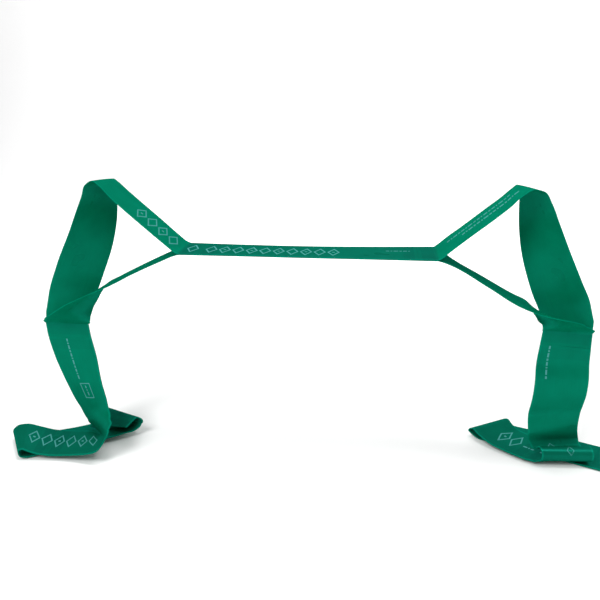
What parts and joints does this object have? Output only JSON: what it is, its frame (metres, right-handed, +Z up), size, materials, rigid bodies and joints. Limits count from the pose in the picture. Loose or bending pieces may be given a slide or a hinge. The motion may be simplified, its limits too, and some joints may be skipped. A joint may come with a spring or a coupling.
{
  "type": "resistance band",
  "caption": "Flat rubber resistance band made of consecutive loops, held stretched between two loops with its two tails hanging to a folded end.",
  "frame": {"origin": "middle of the left hand's loop, between its two plies", "axes": "+X along the stretched band towards the right hand's loop, +Y away from the viewer across the band's width, +Z up"},
  "size_m": [0.6403, 0.1378, 0.2807],
  "materials": {
    "rubber": "smooth latex sheet, slightly glossy and translucent",
    "bond": "cured rubber cement, satin"
  },
  "bodies": {
    "left_loop": {"left_loop_top_ply": "rubber", "left_loop_under_ply": "rubber", "centre_top_ply": "rubber", "centre_under_ply": "rubber", "left_inner_bond_glue_a": "bond", "left_inner_bond_glue_b": "bond", "left_outer_bond_glue_a": "bond"},
    "right_loop": {"right_loop_top_ply": "rubber", "right_loop_under_ply": "rubber", "right_inner_bond_glue_a": "bond", "right_inner_bond_glue_b": "bond", "right_outer_bond_glue_a": "bond"},
    "left_tail": {"left_tail_top_ply": "rubber", "left_tail_under_ply": "rubber", "left_outer_bond_glue_b": "bond", "left_mid_bond_glue_a": "bond"},
    "left_end": {"left_end_top_ply": "rubber", "left_end_under_ply": "rubber", "left_mid_bond_glue_b": "bond", "left_end_bond_glue_a": "bond", "left_end_bond_glue_b": "bond"},
    "right_tail": {"right_tail_top_ply": "rubber", "right_tail_under_ply": "rubber", "right_outer_bond_glue_b": "bond", "right_mid_bond_glue_a": "bond"},
    "right_end": {"right_end_top_ply": "rubber", "right_end_under_ply": "rubber", "right_mid_bond_glue_b": "bond", "right_end_bond_glue_a": "bond", "right_end_bond_glue_b": "bond"}
  },
  "joints": [
    {"name": "centre_stretch", "type": "slide", "parent": "left_loop", "child": "right_loop", "axis": [1, 0, 0], "range_m": [-0.033, 0.15], "stiffness_N_per_m": 110, "deforming": ["centre_top_ply", "centre_under_ply"]},
    {"name": "left_tail_swing", "type": "hinge", "parent": "left_loop", "child": "left_tail", "pos_m": [-0.05747, 0.00004, -0.09895], "axis": [0.9979, -0.0608, 0.0213], "range_deg": [-60, 60]},
    {"name": "left_end_lift", "type": "hinge", "parent": "left_tail", "child": "left_end", "pos_m": [-0.07378, -0.0288, -0.20807], "axis": [-0.1204, 0.9921, 0.0349], "range_deg": [0, 40], "stiffness_Nm_per_rad": 0.02, "springref_deg": -11.46},
    {"name": "right_tail_swing", "type": "hinge", "parent": "right_loop", "child": "right_tail", "pos_m": [0.44703, -0.00003, -0.09099], "axis": [0.9975, 0, -0.0701], "range_deg": [-60, 60]},
    {"name": "right_end_lift", "type": "hinge", "parent": "right_tail", "child": "right_end", "pos_m": [0.43426, 0.01231, -0.21102], "axis": [0.7449, 0.6672, 0], "range_deg": [0, 30], "stiffness_Nm_per_rad": 0.02, "springref_deg": -11.46}
  ]
}
